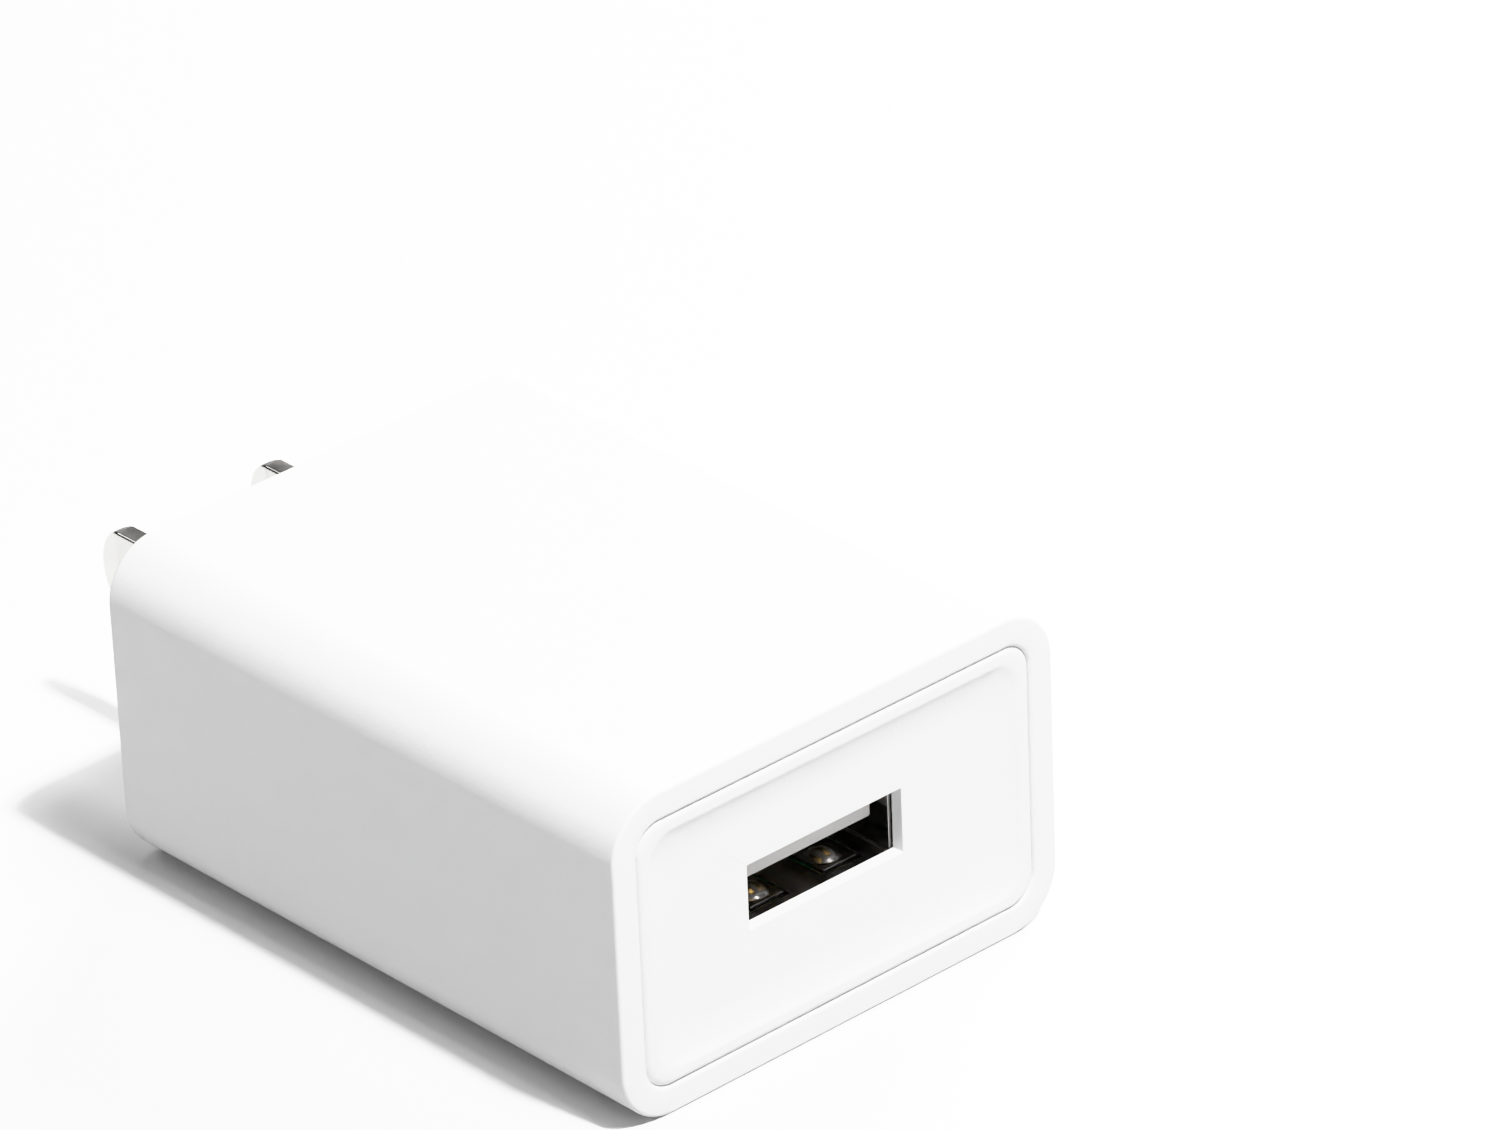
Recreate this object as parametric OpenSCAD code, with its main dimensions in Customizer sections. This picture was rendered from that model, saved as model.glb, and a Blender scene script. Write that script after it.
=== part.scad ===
// USB wall charger: two fixed mains blades at one end and one USB-A socket at the other.
// Frame: the origin is the middle of the face that meets the wall outlet. +Y points out of
// that face along the blades, +X along the wide side, +Z through the thickness. Millimetres.

/* [Body] */
// Width of the body
body_w = 37; // [37:0.5:39]
// Thickness of the body
body_t = 22.8; // [22.8:0.2:24]
// Length of the body, from the socket face to the wall face
body_l = 48; // [48:0.5:52]
// Radius of the four long edges
edge_r = 4; // [3.4:0.2:4.4]
// Width of the housing's rim round the front cover
front_rim = 2; // [1.8:0.1:2.2]
// Width of the housing's rim round the rear cover
rear_rim = 1.3; // [1.2:0.1:1.6]
// Thickness of the housing's wall between the covers
wall = 2.4; // [2.3:0.05:2.5]

/* [Front cover] */
// Depth of the dish below the rim
dish_depth = 0.5; // [0.4:0.1:0.8]
// Width of the rounded bead that stands round the dish
bead_w = 0.6; // [0.5:0.1:0.8]
// Width of the slope between the bead and the flat panel
slope_w = 2.7; // [2.3:0.1:2.9]
// Thickness of the panel round the socket window
panel_t = 0.9; // [0.8:0.1:1.1]
// Width of the seam gap round both covers
seam_gap = 0.12; // [0.08:0.02:0.2]

/* [USB socket] */
// Distance of the socket's middle from the body's middle, along X
port_x = -0.75; // [-1.5:0.05:0]
// Height of the socket's middle above the body's middle
port_z = 0.6; // [0.5:0.05:1.2]
// Width of the window in the front cover
window_w = 13; // [12.6:0.1:13]
// Height of the window in the front cover
window_h = 4.6; // [4.6:0.05:5]

/* [Mains blades] */
// Distance between the middles of the two blades
blade_pitch = 12.7; // [12.7]
// Width of a blade
blade_w = 6.2; // [6.1:0.05:6.4]
// Thickness of a blade
blade_t = 1.5; // [1.4:0.05:1.6]
// Length of a blade outside the wall face
blade_l = 15.9; // [15.9:0.1:18]
// Diameter of the hole in a blade
blade_hole_d = 3.3; // [3.1:0.1:3.6]
// Distance of the hole from the wall face
blade_hole_y = 11.1; // [10.8:0.1:11.9]

/* [Circuit board] */
// Thickness of the board
board_t = 1.2; // [1:0.1:1.2]
// Width of the board
board_w = 31.4; // [31:0.1:31.6]

/* [Hidden] */
$fn = 48;
over = 1;          // how far a cut runs past a face
hair = 0.05;       // working clearance between fixed pieces

// Housing and covers
front_y = -body_l;
cover_t = 3;       // thickness of both covers at their edge
seam_depth = 0.5;
dish_floor_y = front_y + dish_depth;
panel_back_y = dish_floor_y + panel_t;
cover_back_y = front_y + cover_t;
cavity_z = body_t / 2 - wall;
cavity_x = body_w / 2 - wall;
slope_steps = 10;
boss_l = 3;        // the rear cover's boss round the blades, inside the plate
boss_w = 19;
boss_h = 9;

// USB-A receptacle, to the standard's sizes
shell_w = 13.1;
shell_h = 5.7;
shell_t = 0.3;
shell_r = 0.6;
mouth_y = panel_back_y + 0.1;
shell_back_y = mouth_y + 13.8;
tongue_w = 11.1;
tongue_t = 1.84;
tongue_tip_y = mouth_y + 0.8;
block_y = mouth_y + 10;          // front of the insulator's rear block
contact_x = [-3.5, -1, 1, 3.5];  // from the socket's middle
contact_w = 1;
contact_t = 0.25;
slot_w = 1.3;
slot_h = 1.2;
arm_root_y = block_y - 0.7;
arm_root_z = port_z + 0.6;
tail_root_y = arm_root_y + 0.2;
tail_drop_y = shell_back_y + 0.5;
arm_bend = [arm_root_y - 5.6, port_z - 0.42];      // lowest point of a sprung arm, in Y and Z
arm_tip = [tongue_tip_y + 0.75, port_z + 0.3];
leg_y = mouth_y + 4;             // the shell's two legs, down through the board
leg_l = 1.5;
leg_slack = 0.2;                 // clearance round a leg in its slot
floor_z = port_z - shell_h / 2;
finger_x = [-3.1, 3.1];          // the shell's two spring fingers, from the socket's middle
finger_w = 2.8;
finger_y = [mouth_y + 1.1, mouth_y + 8.6];         // tip and root
finger_rise = 0.15;
finger_slit = 0.3;
dimple_y = mouth_y + 2.6;        // the round dimple pressed up in each finger
dimple_r = 1.6;
dimple_h = 0.55;

// Circuit board
board_top = port_z - shell_h / 2;
board_bottom = board_top - board_t;
board_front = front_y + 4;
board_rear = -7.5;
lead_d = 0.6;
lead_hole_d = 0.9;
lead_end_z = board_bottom - 0.9;

// Mains blades
shoulder_w = 8.2;
shoulder_y = -cover_t - boss_l;
shoulder_l = 1.2;
tip_r = 3.2;
bevel_y = blade_l - 2.4;
tip_edge_t = 0.6;
tail_z = [-0.2, 2.8];
tail_end_y = -12.5;

// Transformer, with its winding axis along Y
trafo_x = 8.2;
trafo_y = -23.2;
trafo_z = board_top + 5.1;
core_w = 13.4;
core_h = 4.4;
core_half_l = 6.4;
core_yoke = 1.9;
leg_w = 3.2;
outer_leg_w = 1.9;
bobbin_l = 8.8;
bobbin_wall = 0.5;
flange_t = 0.6;
primary_build = 1.1;
secondary_build = 0.7;
tape_t = 0.1;
wound_r = 0.3;      // corner radius of the tube that the wire is wound on
tube_x = leg_w / 2 + 0.1;
tube_z = core_h / 2 + 0.1;
wound_x = tube_x + bobbin_wall;
wound_z = tube_z + bobbin_wall;
layer_l = bobbin_l - 2 * flange_t - 2 * hair;
full_x = wound_x + primary_build + secondary_build + tape_t + 3 * hair;
full_z = wound_z + primary_build + secondary_build + tape_t + 3 * hair;
rail_l = 3;
rail_pins = [-4.5, -1.5, 1.5, 4.5];

// Parts on the board: middles along X and Y
input_cap_x = [-11.3, -3.1];
input_cap_d = 7.8;
input_cap_l = 12;
input_cap_front = -30.4;
output_cap_x = 10.4;
output_cap_y = [front_y + 7.8, front_y + 14.2];
output_cap_d = 6.2;
output_cap_h = 8.8;
sleeve_t = 0.15;
bung_t = 1.2;
y_cap = [-12, front_y + 11];
y_cap_d = 7;
y_cap_t = 3.2;
axial_x = [-12.9, 12.9];         // fusible resistor, input choke
axial_y = [-14.3, -9.2];
axial_d = 3;
axial_z = board_top + 1.9;
bridge = [0, -11.5];
bridge_w = 4.7;
bridge_l = 3.9;
chip = [0, -12];
chip_w = 3.9;
chip_l = 4.9;
diode = [2, -35];
diode_w = 4.4;
diode_l = 3.6;
sheet_t = 0.3;
sheet_w = 28;

// Every round lead that passes through the board
cap_leads = [for (x = input_cap_x, s = [-1, 1]) [x + s * 1.75, input_cap_front + 13.6]];
can_leads = [for (y = output_cap_y, s = [-1, 1]) [output_cap_x + s * 1.25, y]];
disc_leads = [for (s = [-1, 1]) [y_cap[0], y_cap[1] + s * 2.5]];
wire_leads = [for (x = axial_x, y = [axial_y[0] - 0.8, axial_y[1] + 0.8]) [x, y]];
coil_leads = [for (x = rail_pins, s = [-1, 1]) [trafo_x + x, trafo_y + s * (bobbin_l / 2 + rail_l / 2)]];
clip_leads = [for (s = [-1, 1], y = [-11.6, -9.4]) [s * blade_pitch / 2, y]];
usb_leads = [for (x = contact_x) [port_x + x, tail_drop_y]];
all_leads = concat(cap_leads, can_leads, disc_leads, wire_leads, coil_leads, clip_leads, usb_leads);

// ---- Building blocks ----

// Extrudes a drawing of X and Z from y0 to y1
module along_y(y0, y1) {
    translate([0, y1, 0]) rotate([90, 0, 0]) linear_extrude(y1 - y0) children();
}

// Extrudes a drawing of Y and Z from x0 to x1
module along_x(x0, x1) {
    translate([x0, 0, 0]) rotate([90, 0, 90]) linear_extrude(x1 - x0) children();
}

// A box between two corners
module block(low, high) {
    translate(low) cube(high - low);
}

// A rectangle about its middle, with round corners
module round_rect(w, h, r) {
    square([w - 2 * r, h], center = true);
    square([w, h - 2 * r], center = true);
    for (x = [-1, 1], z = [-1, 1])
        translate([x * (w / 2 - r), z * (h / 2 - r)]) circle(r);
}

// The body's outline, moved inwards by an amount
module body_outline(inset) {
    round_rect(body_w - 2 * inset, body_t - 2 * inset, edge_r - inset);
}

// A length of wire standing on its lower end
module pin(place, bottom, top, d = lead_d) {
    translate([place[0], place[1], bottom]) cylinder(d = d, h = top - bottom);
}

// ---- Casing ----

module main_housing() color("white") {
    difference() {
        along_y(front_y, 0) body_outline(0);
        along_y(front_y - over, cover_back_y) body_outline(front_rim);
        along_y(cover_back_y - over, over) body_outline(wall);
        along_y(-cover_t, over) body_outline(rear_rim);
    }
    // Rails that the board's long edges slide between
    for (s = [-1, 1], z = [board_bottom - 1 - hair, board_top + hair])
        mirror([s < 0 ? 1 : 0, 0, 0])
            block([board_w / 2 - 0.7, board_front + 2, z], [cavity_x + 0.4, -9, z + 1]);
}

// Half the section of the dish: steep below the bead, then easing into the flat panel
function slope_points(edge) = [
    for (i = [0 : slope_steps])
        [-edge + slope_w * i / slope_steps,
         front_y + dish_depth * (1 - pow(1 - i / slope_steps, 2))]
];

module dish_section(edge) {
    left = slope_points(edge);
    right = [for (i = [slope_steps : -1 : 0]) [-left[i][0], left[i][1]]];
    polygon(concat([[-edge, front_y - over]], left, right, [[edge, front_y - over]]));
}

module dish() {
    half_w = body_w / 2 - front_rim - seam_gap - bead_w;
    half_h = body_t / 2 - front_rim - seam_gap - bead_w;
    intersection() {
        translate([0, 0, -body_t / 2]) linear_extrude(body_t) dish_section(half_w);
        rotate([0, 90, 0]) translate([0, 0, -body_w / 2]) linear_extrude(body_w) dish_section(half_h);
    }
}

module front_cover() color("white") {
    difference() {
        union() {
            along_y(front_y, front_y + seam_depth) body_outline(front_rim + seam_gap);
            along_y(front_y + seam_depth, cover_back_y) body_outline(front_rim + hair);
            for (s = [-1, 1])
                mirror([0, 0, s < 0 ? 1 : 0])
                    block([-11, cover_back_y - 0.2, cavity_z - 1.1], [11, cover_back_y + 3.5, cavity_z - 0.1]);
        }
        dish();
        block([-13, panel_back_y, -7.2], [13, cover_back_y + over, 7.2]);
        translate([port_x, 0, port_z])
            along_y(front_y - over, cover_back_y) square([window_w, window_h], center = true);
    }
}

module rear_cover() color("whitesmoke") {
    difference() {
        union() {
            along_y(-seam_depth, 0) body_outline(rear_rim + seam_gap);
            along_y(-cover_t, -seam_depth) body_outline(rear_rim + hair);
            block([-boss_w / 2, -cover_t - boss_l, -boss_h / 2], [boss_w / 2, -cover_t + 0.2, boss_h / 2]);
        }
        for (s = [-1, 1])
            translate([s * blade_pitch / 2, 0, 0])
                along_y(-cover_t - boss_l - over, over)
                    square([blade_t + 2 * seam_gap, blade_w + 2 * seam_gap], center = true);
    }
}

// ---- Mains blades and the clips that join them to the board ----

module blade(side) {
    translate([side * blade_pitch / 2, 0, 0]) difference() {
        along_x(-blade_t / 2, blade_t / 2) {
            translate([shoulder_y - shoulder_l, -blade_w / 2])
                square([blade_l - tip_r - shoulder_y + shoulder_l, blade_w]);
            intersection() {
                translate([blade_l - tip_r, 0]) circle(tip_r);
                translate([0, -blade_w / 2]) square([blade_l + over, blade_w]);
            }
            translate([shoulder_y - shoulder_l, -shoulder_w / 2]) square([shoulder_l - hair, shoulder_w]);
            translate([tail_end_y, tail_z[0]])
                square([shoulder_y - tail_end_y, tail_z[1] - tail_z[0]]);
        }
        translate([-blade_t, blade_hole_y, 0]) rotate([0, 90, 0]) cylinder(d = blade_hole_d, h = 2 * blade_t);
        // Both faces are bevelled from a straight line to a thin round tip
        for (s = [-1, 1])
            translate([0, 0, -blade_w]) linear_extrude(2 * blade_w)
                polygon([[s * blade_t / 2, bevel_y], [s * tip_edge_t / 2, blade_l],
                         [s * tip_edge_t / 2, blade_l + over], [s * blade_t, blade_l + over],
                         [s * blade_t, bevel_y]]);
    }
}

module blade_left() color("silver") blade(-1);
module blade_right() color("silver") blade(1);

module blade_clip(side) {
    grip = blade_t / 2 + 0.02;
    leaf = 0.35;
    translate([side * blade_pitch / 2, 0, 0])
        along_y(-12.3, -8.7)
            polygon([[-grip - leaf, board_top], [grip + leaf, board_top], [grip + leaf, 2.2],
                     [grip + leaf + 0.4, 3], [grip + 0.4, 3], [grip, 2.2], [grip, board_top + 0.4],
                     [-grip, board_top + 0.4], [-grip, 2.2], [-grip - 0.4, 3], [-grip - leaf - 0.4, 3],
                     [-grip - leaf, 2.2]]);
    for (lead = clip_leads)
        if (lead[0] * side > 0) pin(lead, lead_end_z, board_top + 0.1);
}

module blade_clip_left() color("goldenrod") blade_clip(-1);
module blade_clip_right() color("goldenrod") blade_clip(1);

// ---- Circuit board ----

module circuit_board() color("darkgreen") {
    difference() {
        block([-board_w / 2, board_front, board_bottom], [board_w / 2, board_rear, board_top]);
        for (lead = all_leads)
            pin(lead, board_bottom - over, board_top + over, lead_hole_d);
        // Slots for the socket's two legs
        for (s = [-1, 1])
            translate([port_x + s * (shell_w - shell_t) / 2, 0, 0])
                block([-shell_t / 2 - leg_slack, leg_y - leg_slack, board_bottom - over],
                      [shell_t / 2 + leg_slack, leg_y + leg_l + leg_slack, board_top + over]);
        // Milled slot that keeps the mains side and the low-voltage side apart
        block([trafo_x - 6.5, trafo_y - 0.6, board_bottom - over], [trafo_x + 6.5, trafo_y + 0.6, board_top + over]);
    }
}

// ---- USB-A receptacle ----

// A spring finger on the shell's floor, sprung a little inwards, with a round dimple that presses on the plug
module shell_finger() {
    along_x(-finger_w / 2, finger_w / 2)
        polygon([[finger_y[1], floor_z], [finger_y[0], floor_z + finger_rise],
                 [finger_y[0], floor_z + finger_rise + shell_t], [finger_y[1], floor_z + shell_t]]);
    intersection() {
        translate([0, dimple_y, floor_z + shell_t + finger_rise + dimple_h - dimple_r]) sphere(dimple_r);
        block([-dimple_r, dimple_y - dimple_r, floor_z + shell_t],
              [dimple_r, dimple_y + dimple_r, floor_z + shell_t + 2 * dimple_r]);
    }
}

module usb_shell() color("gray") {
    difference() {
        translate([port_x, 0, port_z]) along_y(mouth_y, shell_back_y) difference() {
            round_rect(shell_w, shell_h, shell_r);
            round_rect(shell_w - 2 * shell_t, shell_h - 2 * shell_t, shell_r - shell_t);
        }
        for (x = finger_x)
            translate([port_x + x, 0, floor_z])
                block([-finger_w / 2 - finger_slit, finger_y[0] - finger_slit, -over],
                      [finger_w / 2 + finger_slit, finger_y[1] - 0.2, shell_t + 0.1]);
    }
    for (x = finger_x)
        translate([port_x + x, 0, 0]) shell_finger();
    for (s = [-1, 1])
        translate([port_x + s * (shell_w - shell_t) / 2, 0, 0])
            block([-shell_t / 2, leg_y, lead_end_z], [shell_t / 2, leg_y + leg_l, port_z]);
}

module usb_insulator() color("ivory") {
    inner_w = shell_w - 2 * shell_t - 2 * hair;
    inner_h = shell_h - 2 * shell_t - 2 * hair;
    difference() {
        union() {
            translate([port_x, 0, port_z])
                along_y(block_y, shell_back_y - 0.1) round_rect(inner_w, inner_h, shell_r - shell_t);
            block([port_x - tongue_w / 2, tongue_tip_y, port_z],
                  [port_x + tongue_w / 2, block_y + 0.2, port_z + tongue_t]);
        }
        for (x = contact_x) {
            block([port_x + x - slot_w / 2, tongue_tip_y + 0.5, port_z - over],
                  [port_x + x + slot_w / 2, block_y, port_z + slot_h]);
            block([port_x + x - contact_w / 2 - hair, block_y - over, arm_root_z - contact_t / 2 - hair],
                  [port_x + x + contact_w / 2 + hair, shell_back_y + over, arm_root_z + contact_t / 2 + hair]);
        }
    }
}

// The fixed halves of the four terminals: through the block, then down through the board
module usb_terminals() color("gold") {
    low = arm_root_z - contact_t / 2;
    for (x = contact_x) translate([port_x + x, 0, 0]) {
        along_x(-contact_w / 2, contact_w / 2)
            polygon([[tail_root_y, low], [tail_drop_y - contact_t / 2, low],
                     [tail_drop_y - contact_t / 2, board_top + 0.3], [tail_drop_y + contact_t / 2, board_top + 0.3],
                     [tail_drop_y + contact_t / 2, low + contact_t], [tail_root_y, low + contact_t]]);
        block([-0.3, tail_drop_y - contact_t / 2, lead_end_z], [0.3, tail_drop_y + contact_t / 2, board_top + 0.4]);
    }
}

// The sprung half of a terminal: an arm that hangs down to a rounded contact point
module usb_contact(index) {
    t = contact_t / 2;
    translate([port_x + contact_x[index], 0, 0])
        along_x(-contact_w / 2, contact_w / 2) {
            polygon([[arm_root_y, arm_root_z - t], [arm_root_y, arm_root_z + t],
                     [arm_bend[0], arm_bend[1] + t], [arm_bend[0], arm_bend[1] - t]]);
            for (place = [[arm_root_y, arm_root_z], arm_bend])
                translate(place) circle(t);
            polygon([[arm_bend[0], arm_bend[1] - t], [arm_bend[0], arm_bend[1] + t],
                     [arm_tip[0], arm_tip[1] + t], [arm_tip[0], arm_tip[1] - t]]);
        }
}

module usb_contact_1() color("gold") usb_contact(0);
module usb_contact_2() color("gold") usb_contact(1);
module usb_contact_3() color("gold") usb_contact(2);
module usb_contact_4() color("gold") usb_contact(3);

// ---- Transformer ----

module at_trafo() {
    translate([trafo_x, trafo_y, trafo_z]) children();
}

// A rectangular sleeve round the winding axis
module winding_layer(inner_x, inner_z, build, length, r) {
    along_y(-length / 2, length / 2) difference() {
        round_rect(2 * (inner_x + build), 2 * (inner_z + build), r + build);
        round_rect(2 * inner_x, 2 * inner_z, r);
    }
}

module transformer_bobbin() color("dimgray") at_trafo() {
    difference() {
        union() {
            along_y(-bobbin_l / 2, bobbin_l / 2) round_rect(2 * wound_x, 2 * wound_z, wound_r);
            for (s = [-1, 1])
                mirror([0, s < 0 ? 1 : 0, 0]) {
                    along_y(bobbin_l / 2 - flange_t, bobbin_l / 2)
                        square([2 * (core_w / 2 - outer_leg_w - 0.15), 2 * full_z], center = true);
                    block([-core_w / 2, bobbin_l / 2 - flange_t, board_top - trafo_z],
                          [core_w / 2, bobbin_l / 2 + rail_l, -core_h / 2 - 0.1]);
                }
        }
        along_y(-bobbin_l, bobbin_l) square([2 * tube_x, 2 * tube_z], center = true);
        for (x = rail_pins, s = [-1, 1])
            translate([x, s * (bobbin_l / 2 + rail_l / 2), board_top - trafo_z - over])
                cylinder(d = lead_d, h = over + 1.5);
    }
}

module core_half() {
    along_y(core_half_l - core_yoke, core_half_l) square([core_w, core_h], center = true);
    along_y(0.02, core_half_l) square([leg_w, core_h], center = true);
    for (s = [-1, 1])
        translate([s * (core_w - outer_leg_w) / 2, 0, 0])
            along_y(0.02, core_half_l) square([outer_leg_w, core_h], center = true);
}

module transformer_core_front() color("dimgray") at_trafo() mirror([0, 1, 0]) core_half();
module transformer_core_rear() color("dimgray") at_trafo() core_half();

module primary_winding() color("chocolate") at_trafo()
    winding_layer(wound_x + hair, wound_z + hair, primary_build, layer_l, wound_r);

module secondary_winding() color("peru") at_trafo()
    winding_layer(wound_x + primary_build + 2 * hair, wound_z + primary_build + 2 * hair,
                  secondary_build, layer_l, wound_r + primary_build);

module winding_tape() color("gold") at_trafo()
    winding_layer(full_x - tape_t, full_z - tape_t, tape_t, layer_l,
                  wound_r + primary_build + secondary_build);

module transformer_pins() color("silver") {
    for (lead = coil_leads) pin(lead, lead_end_z, board_top + 1.5);
}

// ---- Capacitors ----

// A can along +Z with a rolled groove near its open end
module can(d, length) {
    r = d / 2;
    rotate_extrude()
        polygon([[0, bung_t + 0.3], [r - 0.45, bung_t + 0.3], [r - 0.45, 0], [r - 0.1, 0], [r, 0.2], [r, 1],
                 [r - 0.35, 1.25], [r, 1.5], [r, length - 0.4], [r - 0.4, length], [0, length]]);
}

module bung(d, lead_gap) {
    difference() {
        translate([0, 0, 0.1]) cylinder(d = d - 1 - 2 * hair, h = bung_t);
        for (s = [-1, 1])
            translate([s * lead_gap / 2, 0, -over]) cylinder(d = lead_d, h = bung_t + 2 * over);
    }
}

// Lays a capacitor down along -Y with its open end to the rear
module at_input_cap(x) {
    translate([x, input_cap_front + input_cap_l, board_top + input_cap_d / 2 + sleeve_t + 0.05])
        rotate([90, 0, 0]) children();
}

module at_output_cap(y) {
    translate([output_cap_x, y, board_top + 0.1]) children();
}

module sleeve() {
    rotate_extrude() {
        r = input_cap_d / 2;
        translate([r + 0.01, 0.3]) square([sleeve_t, input_cap_l - 0.1]);
        translate([r - 1.2, input_cap_l + 0.05]) square([1.21 + sleeve_t, sleeve_t]);
    }
}

module input_capacitor_left() color("silver") at_input_cap(input_cap_x[0]) can(input_cap_d, input_cap_l);
module input_capacitor_right() color("silver") at_input_cap(input_cap_x[1]) can(input_cap_d, input_cap_l);
module input_capacitor_left_sleeve() color("darkslategray") at_input_cap(input_cap_x[0]) sleeve();
module input_capacitor_right_sleeve() color("darkslategray") at_input_cap(input_cap_x[1]) sleeve();
module input_capacitor_left_bung() color("black") at_input_cap(input_cap_x[0]) bung(input_cap_d, 3.5);
module input_capacitor_right_bung() color("black") at_input_cap(input_cap_x[1]) bung(input_cap_d, 3.5);
module output_capacitor_front() color("silver") at_output_cap(output_cap_y[0]) can(output_cap_d, output_cap_h);
module output_capacitor_rear() color("silver") at_output_cap(output_cap_y[1]) can(output_cap_d, output_cap_h);
module output_capacitor_front_bung() color("black") at_output_cap(output_cap_y[0]) bung(output_cap_d, 2.5);
module output_capacitor_rear_bung() color("black") at_output_cap(output_cap_y[1]) bung(output_cap_d, 2.5);

// A disc capacitor, dipped in resin, standing on its two legs
module y_capacitor() color("royalblue") {
    translate([y_cap[0], y_cap[1], board_top + 1 + y_cap_d / 2]) rotate([0, 90, 0]) rotate_extrude() {
        intersection() {
            translate([0, -y_cap_t / 2]) square([y_cap_d / 2, y_cap_t]);
            union() {
                translate([0, -y_cap_t / 2]) square([y_cap_d / 2 - 1, y_cap_t]);
                translate([y_cap_d / 2 - 1, -y_cap_t / 2 + 1]) square([1, y_cap_t - 2]);
                for (s = [-1, 1])
                    translate([y_cap_d / 2 - 1, s * (y_cap_t / 2 - 1)]) circle(1);
            }
        }
    }
}

// ---- Axial parts ----

// A round body along Y with fatter ends, as a coated resistor or a small choke has
module axial_body(x) {
    length = axial_y[1] - axial_y[0];
    r = axial_d / 2;
    translate([x, axial_y[1], axial_z]) rotate([90, 0, 0]) rotate_extrude()
        polygon([[0, 0], [r - 0.3, 0], [r, 0.3], [r, 1.3], [r - 0.25, 1.7], [r - 0.25, length - 1.7],
                 [r, length - 1.3], [r, length - 0.3], [r - 0.3, length], [0, length]]);
}

module fusible_resistor() color("seagreen") axial_body(axial_x[0]);
module input_choke() color("black") axial_body(axial_x[1]);

// ---- Surface-mounted parts ----

module moulded_body(place, w, l, z0, z1) {
    block([place[0] - w / 2, place[1] - l / 2, z0], [place[0] + w / 2, place[1] + l / 2, z1]);
}

module bridge_rectifier() color("black")
    moulded_body(bridge, bridge_w, bridge_l, board_top + 0.15, board_top + 2.6);

module controller_chip() color("black")
    moulded_body(chip, chip_w, chip_l, board_bottom - 1.6, board_bottom - 0.15);

module output_diode() color("black")
    moulded_body(diode, diode_w, diode_l, board_bottom - 2.3, board_bottom - 0.1);

// A gull-wing lead: out of the body, down, and out along the board. side is -1 or 1 along X
module gull_lead(x_body, y, side, z_board, up, rise, w) {
    t = 0.2;
    reach = 1.1;
    translate([x_body, y, z_board]) mirror([side < 0 ? 1 : 0, 0, 0]) mirror([0, 0, up < 0 ? 1 : 0])
        along_y(-w / 2, w / 2)
            polygon([[0, rise], [0.5, rise], [0.6, t], [reach, t], [reach, 0], [0.4, 0], [0.3, rise - t],
                     [0, rise - t]]);
}

module chip_leads() color("silver") {
    for (s = [-1, 1]) {
        for (y = [-1.25, 1.25])
            gull_lead(bridge[0] + s * bridge_w / 2, bridge[1] + y, s, board_top, 1, 1.2, 0.6);
        for (y = [-1.905, -0.635, 0.635, 1.905])
            gull_lead(chip[0] + s * chip_w / 2, chip[1] + y, s, board_bottom, -1, 0.9, 0.4);
        gull_lead(diode[0] + s * diode_w / 2, diode[1], s, board_bottom, -1, 1.2, 2);
    }
}

module chip_resistors() color("black") {
    for (i = [0 : 5])
        moulded_body([-12 + 2.6 * i, -26], 1.25, 2, board_bottom - 0.5, board_bottom);
    for (i = [0 : 2])
        moulded_body([-11 + 2.6 * i, -37], 1.25, 2, board_bottom - 0.5, board_bottom);
}

module chip_capacitors() color("tan") {
    for (i = [0 : 2])
        moulded_body([-11 + 3 * i, -21], 1.6, 3.2, board_bottom - 1.2, board_bottom);
    moulded_body([6.5, -38], 1.6, 3.2, board_bottom - 1.2, board_bottom);
}

// ---- Leads, solder and insulation ----

module component_leads() color("silver") {
    cap_axis_z = board_top + input_cap_d / 2 + sleeve_t + 0.05;
    cap_rear_y = input_cap_front + input_cap_l;
    for (lead = cap_leads) {
        pin(lead, lead_end_z, cap_axis_z + lead_d / 2);
        translate([lead[0], lead[1], cap_axis_z]) rotate([90, 0, 0])
            cylinder(d = lead_d, h = lead[1] - cap_rear_y + bung_t);
    }
    for (lead = can_leads) pin(lead, lead_end_z, board_top + bung_t);
    for (lead = disc_leads) pin(lead, lead_end_z, board_top + 2.2);
    for (lead = wire_leads) {
        front = lead[1] < (axial_y[0] + axial_y[1]) / 2;
        pin(lead, lead_end_z, axial_z + lead_d / 2);
        translate([lead[0], front ? axial_y[0] : lead[1], axial_z]) rotate([90, 0, 0])
            cylinder(d = lead_d, h = 0.8);
    }
}

// A cone of solder round each lead, under the board
module solder_joints() color("lightgray") {
    for (lead = concat(cap_leads, can_leads, disc_leads, wire_leads, coil_leads, clip_leads))
        translate([lead[0], lead[1], board_bottom]) mirror([0, 0, 1]) rotate_extrude()
            polygon([[lead_d / 2, 0], [0.9, 0], [0.6, 0.25], [lead_d / 2, 0.8]]);
}

module insulating_sheet() color("khaki")
    block([-sheet_w / 2, cover_back_y + 4, -cavity_z], [sheet_w / 2, -8, -cavity_z + sheet_t]);

// ---- Assembly ----

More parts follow.
